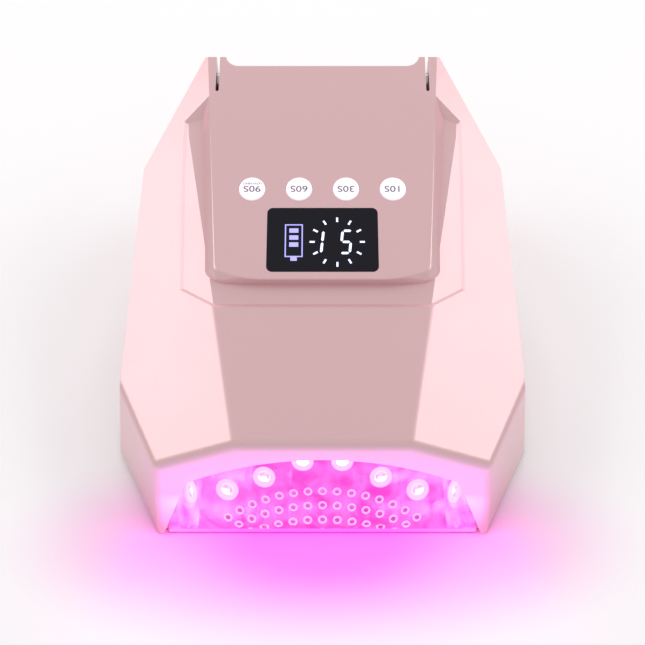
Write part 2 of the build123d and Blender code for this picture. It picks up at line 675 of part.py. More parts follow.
with BuildPart() as battery_straps:
    for x in STRAP_X:
        extrude(strap_loop(STRAP_R + STRAP_T).moved(Location((x, 0, 0))), amount=STRAP_W)
        extrude(strap_loop(STRAP_R).moved(Location((x, 0, 0))), amount=STRAP_W, mode=Mode.SUBTRACT)
finish(battery_straps.part, "battery_straps")

# ---- driver board at the back, inlet, power switch, sensor ----------------------------------------
DRIVER_Y, DRIVER_Z, DRIVER_W = 186.0, (8.0, 43.0), 92.0
with BuildPart() as driver_board:
    add(slab(DRIVER_W, (DRIVER_Y, DRIVER_Y + BOARD_T), DRIVER_Z))
finish(driver_board.part, "driver_board")

# on its front side: a transformer, an inductor, two capacitors and three chips
DRIVER_BLOCKS = (((-28, 24), (18, 16)), ((32, 30), (11, 9)))
DRIVER_CANS = ((-6, 18), (7, 18))
DRIVER_CHIPS = ((0, 34), (18, 14), (18, 24))
BLOCK_H, CAN_R, CAN_H, CHIP_H = 8.0, 4.0, 9.0, 2.0
with BuildPart() as driver_parts:
    front_side = Plane(origin=at(0, DRIVER_Y, 0), x_dir=(1, 0, 0), z_dir=(0, -1, 0))
    with BuildSketch(front_side):
        for spot, size in DRIVER_BLOCKS:
            with Locations(spot):
                Rectangle(*size)
    extrude(amount=BLOCK_H)
    with BuildSketch(front_side):
        with Locations(*DRIVER_CANS):
            Circle(CAN_R)
    extrude(amount=CAN_H)
    with BuildSketch(front_side):
        with Locations(*DRIVER_CHIPS):
            Rectangle(7, 5)
    extrude(amount=CHIP_H)
finish(driver_parts.part, "driver_parts")

CLIP_X, CLIP_W, CLIP_PAD, CLIP_TOP = 34.0, 12.0, BASE_T + 1.6, 14.0
with BuildPart() as driver_clips:
    for x in (-CLIP_X, CLIP_X):
        add(slab(CLIP_W, (DRIVER_Y - 4, DRIVER_Y + 6), (BASE_T, CLIP_PAD), x))
        add(slab(CLIP_W, (DRIVER_Y - 3, DRIVER_Y), (CLIP_PAD, CLIP_TOP), x))
        add(slab(CLIP_W, (DRIVER_Y + BOARD_T, DRIVER_Y + BOARD_T + 3), (CLIP_PAD, CLIP_TOP), x))
finish(driver_clips.part, "driver_clips")

JACK_BORE_R, JACK_BORE_L, JACK_L = 2.8, 10.0, 14.0
JACK_RIM, JACK_PIN_R = 0.8, 1.0
with BuildPart() as dc_jack:
    with BuildSketch(BACK_WALL):
        with Locations(JACK_SPOT):
            Circle(JACK_R)
    extrude(amount=JACK_RIM)
    with BuildSketch(BACK_WALL):
        with Locations(JACK_SPOT):
            Circle(JACK_R - 1.1)
    extrude(amount=-JACK_L)
    with BuildSketch(BACK_WALL.offset(JACK_RIM)):
        with Locations(JACK_SPOT):
            Circle(JACK_BORE_R)
    extrude(amount=-JACK_BORE_L - JACK_RIM, mode=Mode.SUBTRACT)
finish(dc_jack.part, "dc_jack")

with BuildPart() as dc_pin:
    with BuildSketch(BACK_WALL.offset(-JACK_BORE_L)):
        with Locations(JACK_SPOT):
            Circle(JACK_PIN_R)
    extrude(amount=JACK_BORE_L - 1)
    fillet(dc_pin.edges().sort_by(Axis.Y)[-1], JACK_PIN_R / 2)
finish(dc_pin.part, "dc_pin")

ROCKER_CAP_W, ROCKER_CAP_H, ROCKER_GAP = 15.0, 9.4, 0.3
ROCKER_SIDE = Plane(origin=BACK_WALL.from_local_coords(Vector(*ROCKER_SPOT)),
                    x_dir=BACK_WALL.x_dir, z_dir=BACK_WALL.y_dir * -1)
STUB_R, STUB_END = 1.0, 5.8            # the rocker's pins, from its middle to their ends
SWITCH_RIM, SWITCH_L, SWITCH_WELL = 1.2, 12.0, 7.0
with BuildPart() as switch_body:
    with BuildSketch(BACK_WALL):
        with Locations(ROCKER_SPOT):
            RectangleRounded(ROCKER_W + 2, ROCKER_H + 2, 1)
    extrude(amount=SWITCH_RIM)
    with BuildSketch(BACK_WALL):
        with Locations(ROCKER_SPOT):
            Rectangle(ROCKER_W - 0.2, ROCKER_H - 0.2)
    extrude(amount=-SWITCH_L)
    with BuildSketch(BACK_WALL.offset(SWITCH_RIM)):
        with Locations(ROCKER_SPOT):
            Rectangle(ROCKER_CAP_W + 2 * ROCKER_GAP, ROCKER_CAP_H + 2 * ROCKER_GAP)
    extrude(amount=-SWITCH_RIM - SWITCH_WELL, mode=Mode.SUBTRACT)
    with BuildSketch(ROCKER_SIDE):
        Circle(STUB_R + PIN_FIT)
    extrude(amount=STUB_END + 0.1, both=True, mode=Mode.SUBTRACT)
finish(switch_body.part, "switch_body")

# The rocker's profile across the switch: a shallow vee, one end proud and the other pressed in.
# It tips on two stub pins, on the line where the vee's point stands, level with the wall's face.
with BuildPart() as power_rocker:
    half = ROCKER_CAP_W / 2
    with BuildSketch(ROCKER_SIDE.offset(-ROCKER_CAP_H / 2)):
        with BuildLine():
            Polyline((-half, -0.6), (-half + 1.4, -2.6), (half - 1.4, -2.6), (half, -0.6),
                     (half - 0.4, 3.0), (0, 1.6), (-half + 0.2, 1.0), close=True)
        make_face()
    extrude(amount=ROCKER_CAP_H)
    with BuildSketch(ROCKER_SIDE):
        Circle(STUB_R)
    extrude(amount=STUB_END, both=True)
finish(power_rocker.part, "power_rocker")

with BuildPart() as hand_sensor:
    back_face = Plane(origin=at(0, CAVITY_BACK, SENSOR_Z), x_dir=(1, 0, 0), z_dir=(0, -1, 0))
    with BuildSketch(back_face.offset(-4.4)):
        Rectangle(20, 9)
    extrude(amount=4.4)
    with BuildSketch(back_face):
        with Locations((-5, 0), (5, 0)):
            Circle(2.5)
    extrude(amount=SHEET + 1.2)
finish(hand_sensor.part, "hand_sensor")

# ---- folding carry handle: two flat arms, a tube grip on a rod, hinge pins in the ears -------
GRIP_SPOT = (FRONT + HANDLE_GRIP[0], FOOT + HANDLE_GRIP[1])
PIVOT_SPOT = (FRONT + HANDLE_PIVOT[0], FOOT + HANDLE_PIVOT[1])
ARM_END_R = 5.0
SCREW_R = 1.5                            # the handle screws' shoulders, in the arms
THREAD_R, THREAD_L = 1.25, 7.0
SCREW_HEAD_R, SCREW_HEAD_T = 2.6, 0.7

for side, name in ((1, "handle_arm_right"), (-1, "handle_arm_left")):
    x_near = side * SLOT_X - ARM_T / 2
    with BuildPart() as arm:
        with BuildSketch(Plane(origin=(x_near, 0, 0), x_dir=(0, 1, 0), z_dir=(1, 0, 0))):
            with Locations(PIVOT_SPOT):
                Circle(EYE_R)
            with Locations(GRIP_SPOT):
                Circle(ARM_END_R)
            make_hull()
            with Locations(PIVOT_SPOT):
                Circle(PIN_R + PIN_FIT, mode=Mode.SUBTRACT)
            with Locations(GRIP_SPOT):
                Circle(SCREW_R, mode=Mode.SUBTRACT)
        extrude(amount=ARM_T)
    finish(arm.part, name)

ARM_INNER = SLOT_X - ARM_T / 2
with BuildPart() as handle_rod:
    with BuildSketch(ACROSS.offset(-ARM_INNER)):
        with Locations(GRIP_SPOT):
            Circle(ROD_R)
    extrude(amount=2 * ARM_INNER)
    for side in (1, -1):
        with BuildSketch(Plane(origin=(side * ARM_INNER, *GRIP_SPOT), z_dir=(-side, 0, 0))):
            Circle(THREAD_R + 0.05)
        extrude(amount=THREAD_L + 2, mode=Mode.SUBTRACT)
finish(handle_rod.part, "handle_rod")

with BuildPart() as handle_grip:
    with BuildSketch(ACROSS.offset(-ARM_INNER + 0.4)):
        with Locations(GRIP_SPOT):
            Circle(GRIP_R)
            Circle(ROD_R, mode=Mode.SUBTRACT)
    extrude(amount=2 * ARM_INNER - 0.8)
    ends = handle_grip.edges().filter_by(GeomType.CIRCLE)
    fillet(ends.filter_by(lambda edge: edge.radius > GRIP_R - 0.1), 1.2)
finish(handle_grip.part, "handle_grip")

with BuildPart() as handle_screws:
    for side in (1, -1):
        face = Plane(origin=(side * (SLOT_X + ARM_T / 2), *GRIP_SPOT), z_dir=(side, 0, 0))
        with BuildSketch(face):
            Circle(SCREW_HEAD_R)
        extrude(amount=SCREW_HEAD_T)
        with BuildSketch(face):
            Circle(SCREW_R - 0.02)
        extrude(amount=-ARM_T)
        with BuildSketch(face.offset(-ARM_T)):
            Circle(THREAD_R)
        extrude(amount=-THREAD_L)
        with BuildSketch(face.offset(SCREW_HEAD_T)):
            Rectangle(1.2 * SCREW_HEAD_R, 0.3 * SCREW_HEAD_R)
        extrude(amount=-SCREW_HEAD_T / 2, mode=Mode.SUBTRACT)
finish(handle_screws.part, "handle_screws")

PIN_HEAD_R, PIN_HEAD_T = 2.7, 1.0
with BuildPart() as hinge_pins:
    for side in (1, -1):
        face = Plane(origin=at(side * LUG_X, *HANDLE_PIVOT), z_dir=(-side, 0, 0))
        with BuildSketch(face):
            Circle(PIN_HEAD_R)
        extrude(amount=PIN_HEAD_T)
        with BuildSketch(face):
            Circle(PIN_R)
        extrude(amount=-(PIN_END - LUG_X - 0.2))
finish(hinge_pins.part, "hinge_pins")

# ---- screws that hold the casing, the bracket and the reflector together ---------------------------
SCREW = (2.8, 1.2, POST_HOLE_R - 0.05)      # head radius and thickness, shank radius
with BuildPart() as base_screws:
    add(cross_screws(Plane.XY.offset(FOOT), both_sides(POST_SPOTS), *SCREW, 9))
finish(base_screws.part, "base_screws")

with BuildPart() as bracket_screws:
    add(cross_screws(Plane.XY.offset(FOOT + BRACKET_Z - BRACKET_T), both_sides(BRACKET_POSTS), *SCREW, 7))
finish(bracket_screws.part, "bracket_screws")

GUIDE_X, GUIDE_L, GUIDE_T = 79.4, 10.0, 1.4
with BuildPart() as reflector_clips:
    for y in (36.0, 80.0, 120.0):
        for side in (1, -1):
            along = (y, y + GUIDE_L)
            add(slab(6, along, (BASE_T, CLIP_PAD), side * (GUIDE_X + 3)))
            add(slab(GUIDE_T, along, (CLIP_PAD, 10), side * (GUIDE_X + GUIDE_T / 2)))
finish(reflector_clips.part, "reflector_clips")
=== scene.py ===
# %% [markdown]
# # A UV LED nail lamp, dressed for a picture
# The lamp comes as a finished mechanical model: a faceted casing, a tunnel of lamps, buttons that
# press, a tray that slides and a handle that folds. This lesson gives every surface its finish,
# draws the display and the print on the buttons, and lights the tunnel from inside.

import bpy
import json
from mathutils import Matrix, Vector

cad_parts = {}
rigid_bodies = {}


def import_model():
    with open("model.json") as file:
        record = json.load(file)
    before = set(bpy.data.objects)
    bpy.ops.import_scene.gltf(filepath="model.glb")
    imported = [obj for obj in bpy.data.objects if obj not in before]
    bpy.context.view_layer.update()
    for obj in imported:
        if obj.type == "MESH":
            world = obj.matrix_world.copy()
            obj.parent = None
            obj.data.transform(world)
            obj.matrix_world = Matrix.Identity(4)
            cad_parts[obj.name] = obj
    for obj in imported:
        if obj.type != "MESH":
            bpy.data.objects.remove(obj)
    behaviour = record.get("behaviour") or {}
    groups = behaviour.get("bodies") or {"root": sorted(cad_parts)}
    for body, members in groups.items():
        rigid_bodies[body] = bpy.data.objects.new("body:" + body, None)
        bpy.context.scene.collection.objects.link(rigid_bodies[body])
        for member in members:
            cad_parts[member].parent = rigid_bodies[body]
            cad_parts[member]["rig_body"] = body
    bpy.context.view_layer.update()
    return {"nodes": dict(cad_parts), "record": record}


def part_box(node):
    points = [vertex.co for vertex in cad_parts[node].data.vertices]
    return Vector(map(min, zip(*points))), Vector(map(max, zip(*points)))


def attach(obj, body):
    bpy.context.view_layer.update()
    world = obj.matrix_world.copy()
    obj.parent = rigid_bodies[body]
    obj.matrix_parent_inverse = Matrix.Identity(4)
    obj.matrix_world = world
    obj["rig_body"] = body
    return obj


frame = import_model()

# %% [markdown]
# Everything is measured in metres. `MM` lets us write small sizes as a maker says them. The
# casing stands on rubber feet, so `FOOT` lifts whatever is given from the casing's underside.
# `ALONG` runs up the control panel's slope and `PROUD` stands out from it.

# %% Units and the casing's own directions
import json
from math import asin, cos, radians, sin

import bmesh
import bpy
from mathutils import Matrix, Vector

MM = 0.001
SHELL_LOW, SHELL_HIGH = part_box("upper_shell")
FOOT = SHELL_LOW.z
WINDOW_LOW, WINDOW_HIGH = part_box("display_window")
DECK_TILT = radians(16.5)                      # slope of the control panel
ALONG = Vector((0, cos(DECK_TILT), sin(DECK_TILT)))
PROUD = Vector((0, -sin(DECK_TILT), cos(DECK_TILT)))


def body_of(node):
    """The name of the body that a CAD node rides on."""
    return frame["nodes"][node]["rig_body"]


print("casing:", [round(size / MM, 1) for size in SHELL_HIGH - SHELL_LOW], "mm")

# %% [markdown]
# ## Camera
# A steep view shows both the panel and the mouth of the tunnel. The camera stands in front on
# the middle line and looks 50 degrees down.

# %% Camera
CAMERA_PLACE, CAMERA_LENS = (0, -0.38545, 0.4852), 61.4
CAMERA_TILT = radians(40)                      # up from looking straight down
cam_data = bpy.data.cameras.new("camera")
cam_data.sensor_width = 36
cam_data.lens = CAMERA_LENS
cam_data.clip_end = 20
camera = bpy.data.objects.new("camera", cam_data)
camera.location = CAMERA_PLACE
camera.rotation_euler = (CAMERA_TILT, 0, 0)
bpy.context.scene.collection.objects.link(camera)
bpy.context.scene.camera = camera
print("camera at", tuple(camera.location))

# %% [markdown]
# ## Floor and studio light
# A pale floor and a white room give the soft wrap-round light of a light tent. Large area lamps
# then draw the bright bands that show the facets: one long box on each side and one behind.
# Blender's *Standard* view keeps the pale colours as they are mixed.

# %% World
ROOM_COLOR, ROOM_STRENGTH = (1.0, 0.985, 0.99, 1), 0.66
scene = bpy.context.scene
scene.view_settings.view_transform = "Standard"
world = bpy.data.worlds.new("light_tent")
world.use_nodes = True
background = world.node_tree.nodes["Background"]
background.inputs["Color"].default_value = ROOM_COLOR
background.inputs["Strength"].default_value = ROOM_STRENGTH
scene.world = world
print("world strength", ROOM_STRENGTH)

# %% [markdown]
# A material is a small graph. The helper starts one, sets the plain numbers on the Principled
# shader itself, and hands back its graph so that a step can add colour or bump.

# %% Material helper
def srgb(red, green, blue):
    """A colour given 0 to 255, as the linear colour that shaders mix."""
    parts = [value / 255 for value in (red, green, blue)]
    return tuple(p / 12.92 if p <= 0.04045 else ((p + 0.055) / 1.055) ** 2.4 for p in parts) + (1,)


def new_material(name, color, roughness=0.5, metallic=0.0, **sockets):
    """A material with a Principled shader; the other sockets are given by name, with _ for a space."""
    material = bpy.data.materials.new(name)
    material.use_nodes = True
    shader = material.node_tree.nodes["Principled BSDF"]
    shader.inputs["Base Color"].default_value = color
    shader.inputs["Roughness"].default_value = roughness
    shader.inputs["Metallic"].default_value = metallic
    for socket, value in sockets.items():
        shader.inputs[socket.replace("_", " ")].default_value = value
    material.diffuse_color = color
    return material, material.node_tree, shader


print("middle grey, linear:", round(srgb(128, 128, 128)[0], 3))

# %% [markdown]
# A bright white floor hides a coloured light that falls on it. The real lamp's light colours the table in
# front of its mouth, so that pool of light is painted into the floor's colour there: a painted glow, in a
# soft oval.

# %% Floor colour, with a painted glow
# The pink here is a painted glow: the lamp's light on the table, put into the floor's own colour.
FLOOR_WHITE, PAINTED_GLOW = srgb(255, 254, 255), srgb(255, 112, 222)
PAINTED_GLOW_MIDDLE, PAINTED_GLOW_REACH = (0, SHELL_LOW.y - 0.004, 0), (0.090, 0.034, 1)
FADE_START, FADE_END = 0.3, 1.9                # in reaches from the middle
floor_painted_glow, tree, shader = new_material("floor_painted_glow", FLOOR_WHITE, 0.6)
where = tree.nodes.new("ShaderNodeTexCoord")
shift = tree.nodes.new("ShaderNodeVectorMath")
shift.operation, shift.inputs[1].default_value = "SUBTRACT", PAINTED_GLOW_MIDDLE
shrink = tree.nodes.new("ShaderNodeVectorMath")
shrink.operation, shrink.inputs[1].default_value = "DIVIDE", PAINTED_GLOW_REACH
reach = tree.nodes.new("ShaderNodeVectorMath")
reach.operation = "LENGTH"
fade = tree.nodes.new("ShaderNodeMapRange")
fade.interpolation_type = "SMOOTHSTEP"
for socket, value in (("From Min", FADE_START), ("From Max", FADE_END), ("To Min", 1.0), ("To Max", 0.0)):
    fade.inputs[socket].default_value = value
tint = tree.nodes.new("ShaderNodeMix")
tint.data_type = "RGBA"
tint.inputs["A"].default_value, tint.inputs["B"].default_value = FLOOR_WHITE, PAINTED_GLOW
tree.links.new(where.outputs["Object"], shift.inputs[0])
tree.links.new(shift.outputs["Vector"], shrink.inputs[0])
tree.links.new(shrink.outputs["Vector"], reach.inputs[0])
tree.links.new(reach.outputs["Value"], fade.inputs["Value"])
tree.links.new(fade.outputs["Result"], tint.inputs["Factor"])
tree.links.new(tint.outputs["Result"], shader.inputs["Base Color"])
print("floor painted glow spans", [2 * part for part in PAINTED_GLOW_REACH[:2]], "m")

# %% Floor
FLOOR_HALF = 3.0
mesh = bpy.data.meshes.new("floor")
corners = [(x * FLOOR_HALF, y * FLOOR_HALF, 0) for x, y in ((-1, -1), (1, -1), (1, 1), (-1, 1))]
mesh.from_pydata(corners, [], [(0, 1, 2, 3)])
floor = bpy.data.objects.new("floor", mesh)
floor.data.materials.append(floor_painted_glow)
scene.collection.objects.link(floor)
print("floor is", 2 * FLOOR_HALF, "m wide")


# %% Area lamps
def area_lamp(name, place, target, size, power, color=(1, 1, 1)):
    """A rectangular lamp at a place, turned to shine at a target."""
    data = bpy.data.lights.new(name, "AREA")
    data.shape = "RECTANGLE"
    data.size, data.size_y = size
    data.energy = power
    data.color = color
    lamp = bpy.data.objects.new(name, data)
    lamp.location = place
    lamp.rotation_euler = (Vector(target) - Vector(place)).to_track_quat("-Z", "Y").to_euler()
    scene.collection.objects.link(lamp)
    return lamp


MIDDLE = Vector((0, 0, 0.06))
for side, name in ((1, "right_box"), (-1, "left_box")):
    area_lamp(name, (side * 0.70, 0.10, 0.80), MIDDLE, (0.8, 0.4), 1.9)
area_lamp("back_box", (0, 0.95, 0.80), MIDDLE, (0.9, 0.35), 2.2)

# %% [markdown]
# ## Finishes that share an effect
# Several plastics here carry the same fine texture, only coarser or finer. Such an effect is made
# once, as a node group with named inputs, and placed in each material with its own values. It
# reads Object coordinates, so the pattern sits still on the piece from every side.

# %% Node group helpers
def new_group(name, inputs, outputs):
    """An empty shader group with its named inputs (value given) and outputs."""
    group = bpy.data.node_groups.new(name, "ShaderNodeTree")
    for label, kind, value in inputs:
        socket = group.interface.new_socket(label, in_out="INPUT", socket_type=kind)
        socket.default_value = value
    for label, kind in outputs:
        group.interface.new_socket(label, in_out="OUTPUT", socket_type=kind)
    return group, group.nodes.new("NodeGroupInput"), group.nodes.new("NodeGroupOutput")


def node(tree, kind, **settings):
    """A node of a graph, with its own settings."""
    made = tree.nodes.new(kind)
    for key, value in settings.items():
        setattr(made, key, value)
    return made


def inverse(tree, socket):
    """One over a size, which is the scale that texture nodes ask for."""
    divide = node(tree, "ShaderNodeMath", operation="DIVIDE")
    divide.inputs[0].default_value = 1.0
    tree.links.new(socket, divide.inputs[1])
    return divide.outputs[0]


FLOAT, COLOR = "NodeSocketFloat", "NodeSocketColor"
print("group helpers ready")

# %% Grain: fine moulded texture, with slightly uneven gloss
grain, grain_in, grain_out = new_group(
    "moulded_grain",
    [("Size", FLOAT, 0.4 * MM), ("Gloss", FLOAT, 0.4), ("Spread", FLOAT, 0.1)],
    [("Height", FLOAT), ("Roughness", FLOAT)])
place = node(grain, "ShaderNodeTexCoord")
fine = node(grain, "ShaderNodeTexNoise")
fine.inputs["Detail"].default_value = 3.0
grain.links.new(place.outputs["Object"], fine.inputs["Vector"])
grain.links.new(inverse(grain, grain_in.outputs["Size"]), fine.inputs["Scale"])
grain.links.new(fine.outputs["Fac"], grain_out.inputs["Height"])
broad = node(grain, "ShaderNodeTexNoise")
broad.inputs["Scale"].default_value = 45.0
broad.inputs["Detail"].default_value = 5.0
grain.links.new(place.outputs["Object"], broad.inputs["Vector"])
centred = node(grain, "ShaderNodeMath", operation="SUBTRACT")
centred.inputs[1].default_value = 0.5
grain.links.new(broad.outputs["Fac"], centred.inputs[0])
uneven = node(grain, "ShaderNodeMath", operation="MULTIPLY_ADD", use_clamp=True)
grain.links.new(centred.outputs[0], uneven.inputs[0])
grain.links.new(grain_in.outputs["Spread"], uneven.inputs[1])
grain.links.new(grain_in.outputs["Gloss"], uneven.inputs[2])
grain.links.new(uneven.outputs[0], grain_out.inputs["Roughness"])
print("moulded_grain:", len(grain.nodes), "nodes")

# %% Flakes: pearl pigment, tiny platelets each a little lighter or darker
flakes, flakes_in, flakes_out = new_group(
    "pearl_flakes",
    [("Ground", COLOR, (1, 1, 1, 1)), ("Flake", COLOR, (1, 1, 1, 1)), ("Size", FLOAT, 0.25 * MM)],
    [("Color", COLOR)])
place = node(flakes, "ShaderNodeTexCoord")
cells = node(flakes, "ShaderNodeTexVoronoi")
flakes.links.new(place.outputs["Object"], cells.inputs["Vector"])
flakes.links.new(inverse(flakes, flakes_in.outputs["Size"]), cells.inputs["Scale"])
split = node(flakes, "ShaderNodeSeparateColor")
flakes.links.new(cells.outputs["Color"], split.inputs["Color"])
mix = node(flakes, "ShaderNodeMix", data_type="RGBA")
flakes.links.new(split.outputs["Red"], mix.inputs["Factor"])
flakes.links.new(flakes_in.outputs["Ground"], mix.inputs["A"])
flakes.links.new(flakes_in.outputs["Flake"], mix.inputs["B"])
flakes.links.new(mix.outputs["Result"], flakes_out.inputs["Color"])
print("pearl_flakes:", len(flakes.nodes), "nodes")

# %% Brushing: long scratches along one direction, for drawn and brushed metal
brushing, brushing_in, brushing_out = new_group(
    "brushing",
    [("Stretch", "NodeSocketVector", (1, 1, 1)), ("Gloss", FLOAT, 0.3), ("Spread", FLOAT, 0.2)],
    [("Height", FLOAT), ("Roughness", FLOAT)])
place = node(brushing, "ShaderNodeTexCoord")
along = node(brushing, "ShaderNodeVectorMath", operation="MULTIPLY")
brushing.links.new(place.outputs["Object"], along.inputs[0])
brushing.links.new(brushing_in.outputs["Stretch"], along.inputs[1])
lines = node(brushing, "ShaderNodeTexNoise")
lines.inputs["Scale"].default_value = 1.0
lines.inputs["Detail"].default_value = 4.0
brushing.links.new(along.outputs["Vector"], lines.inputs["Vector"])
brushing.links.new(lines.outputs["Fac"], brushing_out.inputs["Height"])
uneven = node(brushing, "ShaderNodeMath", operation="MULTIPLY_ADD", use_clamp=True)
brushing.links.new(lines.outputs["Fac"], uneven.inputs[0])
brushing.links.new(brushing_in.outputs["Spread"], uneven.inputs[1])
brushing.links.new(brushing_in.outputs["Gloss"], uneven.inputs[2])
brushing.links.new(uneven.outputs[0], brushing_out.inputs["Roughness"])
print("brushing:", len(brushing.nodes), "nodes")


# %% [markdown]
# Each finish below is one call: a colour, a gloss and how coarse its grain is. The helper places
# the group, sends its height through a Bump node, and its uneven gloss to Roughness.

# %% Plastics and rubber
def add_group(tree, group, **values):
    """A shared node group placed in a graph, with its inputs set by name."""
    placed = tree.nodes.new("ShaderNodeGroup")
    placed.node_tree = group
    for label, value in values.items():
        placed.inputs[label].default_value = value
    return placed


def add_bump(tree, shader, height, distance):
    """Send a height through a Bump node; distance is the depth in metres."""
    bump = node(tree, "ShaderNodeBump")
    bump.inputs["Distance"].default_value = distance
    tree.links.new(height, bump.inputs["Height"])
    tree.links.new(bump.outputs["Normal"], shader.inputs["Normal"])


def plastic(name, color, gloss, spread=0.08, size=0.4 * MM, depth=0.004 * MM, flake=0.94, **sockets):
    """Moulded plastic: flaked or speckled colour, grain and slightly uneven gloss."""
    material, tree, shader = new_material(name, color, gloss, **sockets)
    texture = add_group(tree, grain, Size=size, Gloss=gloss, Spread=spread)
    tree.links.new(texture.outputs["Roughness"], shader.inputs["Roughness"])
    add_bump(tree, shader, texture.outputs["Height"], depth)
    darker = tuple(part * flake for part in color[:3]) + (1,)
    speckle = add_group(tree, flakes, Ground=color, Flake=darker, Size=size)
    tree.links.new(speckle.outputs["Color"], shader.inputs["Base Color"])
    return material


def lacquer(name, color, gloss, **sockets):
    """A smooth gloss piece: almost no grain, faint unevenness of its shine."""
    return plastic(name, color, gloss, 0.05, 0.6 * MM, 0.0006 * MM, 0.98, **sockets)


ROSE = srgb(232, 192, 195)
finish = {
    "casing": plastic("pearl_rose", ROSE, 0.3, 0.06, 0.25 * MM, 0.001 * MM, 0.95,
                      Metallic=0.4, Coat_Weight=0.35, Coat_Roughness=0.12),
    "base": plastic("base_plastic", srgb(214, 176, 180), 0.6, 0.1, 0.5 * MM, 0.03 * MM),
    "foot_rubber": plastic("foot_rubber", srgb(52, 50, 54), 0.8, 0.1, 0.6 * MM, 0.03 * MM, 0.8),
    # The white collars glow faintly pink: a painted glow, standing in for the tunnel's light falling on them.
    "collar_white": lacquer("collar_white", srgb(250, 246, 250), 0.3, Emission_Strength=0.55,
                            Emission_Color=srgb(255, 226, 250)),
    "window_black": lacquer("window_black", srgb(22, 21, 30), 0.12, Specular_IOR_Level=0.2),
    "module_black": plastic("module_black", srgb(26, 26, 28), 0.55, 0.1, 0.5 * MM, 0.02 * MM),
    # The white buttons glow faintly: a painted glow that makes them look brighter lit.
    "button_white": lacquer("button_white", srgb(254, 247, 254), 0.3, Emission_Strength=0.2,
                            Emission_Color=srgb(255, 240, 255)),
    "component": plastic("component", srgb(38, 38, 42), 0.5, 0.1, 0.3 * MM, 0.01 * MM, 0.8),
    "socket_black": plastic("socket_black", srgb(30, 29, 32), 0.5, 0.1, 0.5 * MM, 0.02 * MM),
    "rocker_black": lacquer("rocker_black", srgb(22, 22, 24), 0.22),
    "grip": plastic("grip_soft", srgb(214, 172, 176), 0.62, 0.1, 0.5 * MM, 0.03 * MM),
    "cell_wrap": plastic("cell_wrap", srgb(70, 96, 176), 0.32, 0.1, 0.8 * MM, 0.004 * MM),
}
print("plastics:", sorted(finish))


# %% Metals
def metal(name, color, gloss, spread, stretch, depth):
    """Metal with brush lines; stretch is lines per metre along X, Y and Z."""
    material, tree, shader = new_material(name, color, gloss, 1.0)
    lines = add_group(tree, brushing, Stretch=stretch, Gloss=gloss, Spread=spread)
    tree.links.new(lines.outputs["Roughness"], shader.inputs["Roughness"])
    add_bump(tree, shader, lines.outputs["Height"], depth)
    return material


finish["plate_steel"] = metal("plate_steel", srgb(200, 200, 204), 0.2, 0.2, (3000, 3000, 120), 0.004 * MM)
finish["screw_steel"] = metal("screw_steel", srgb(205, 205, 210), 0.16, 0.12, (900, 900, 900), 0.002 * MM)
finish["contact_brass"] = metal("contact_brass", srgb(226, 190, 120), 0.2, 0.15, (2000, 200, 200), 0.002 * MM)
finish["tray_mirror"] = metal("tray_mirror", srgb(246, 232, 244), 0.02, 0.03, (60, 60, 60), 0.0)
print("metals added:", len(finish), "finishes")

# %% [markdown]
# ### Light inside the tunnel
# The reflector is a metallised sheet, so on the real lamp it is filled with the lamps' own violet
# and pink light. Mirrors that face mirrors are slow to render and noisy, so the sheet also gives
# off a little of that light itself, in soft patches, on top of being a real reflector.

# %% Reflector, emitters and lenses
# The sheet's pink tint and its glow in soft patches are painted light: they stand in for the lamps' light
# bouncing in the tunnel.
GLOW_DEEP, GLOW_PALE = srgb(214, 40, 176), srgb(255, 150, 240)
material, tree, shader = new_material("reflector_metal", srgb(240, 214, 236), 0.12, 1.0,
                                      Emission_Strength=0.62)
ripple = add_group(tree, grain, Size=16 * MM, Gloss=0.12, Spread=0.2)
tree.links.new(ripple.outputs["Roughness"], shader.inputs["Roughness"])
add_bump(tree, shader, ripple.outputs["Height"], 0.12 * MM)
patches = node(tree, "ShaderNodeTexNoise")
patches.inputs["Scale"].default_value = 55.0
patches.inputs["Distortion"].default_value = 1.5
where = node(tree, "ShaderNodeTexCoord")
tree.links.new(where.outputs["Object"], patches.inputs["Vector"])
ramp = node(tree, "ShaderNodeValToRGB")
ramp.color_ramp.elements[0].position, ramp.color_ramp.elements[1].position = 0.35, 0.7
ramp.color_ramp.elements[0].color, ramp.color_ramp.elements[1].color = GLOW_DEEP, GLOW_PALE
tree.links.new(patches.outputs["Fac"], ramp.inputs["Fac"])
tree.links.new(ramp.outputs["Color"], shader.inputs["Emission Color"])
finish["reflector_metal"] = material


def lit(name, color, glow, strength, pale):
    """A lit surface: a glow with a fine grid-like unevenness, over a plain body colour."""
    material, tree, shader = new_material(name, color, 0.4, Emission_Strength=strength)
    spots = add_group(tree, flakes, Ground=glow, Flake=pale, Size=0.5 * MM)
    tree.links.new(spots.outputs["Color"], shader.inputs["Emission Color"])
    return material


finish["emitter"] = lit("emitter", srgb(255, 220, 250), srgb(255, 214, 250), 2.2, srgb(255, 240, 255))
finish["clear_lens"] = plastic("clear_lens", srgb(255, 248, 255), 0.06, 0.03, 0.6 * MM, 0.0004 * MM, 0.99,
                               Transmission_Weight=1.0, IOR=1.45)
print("lit finishes ready")


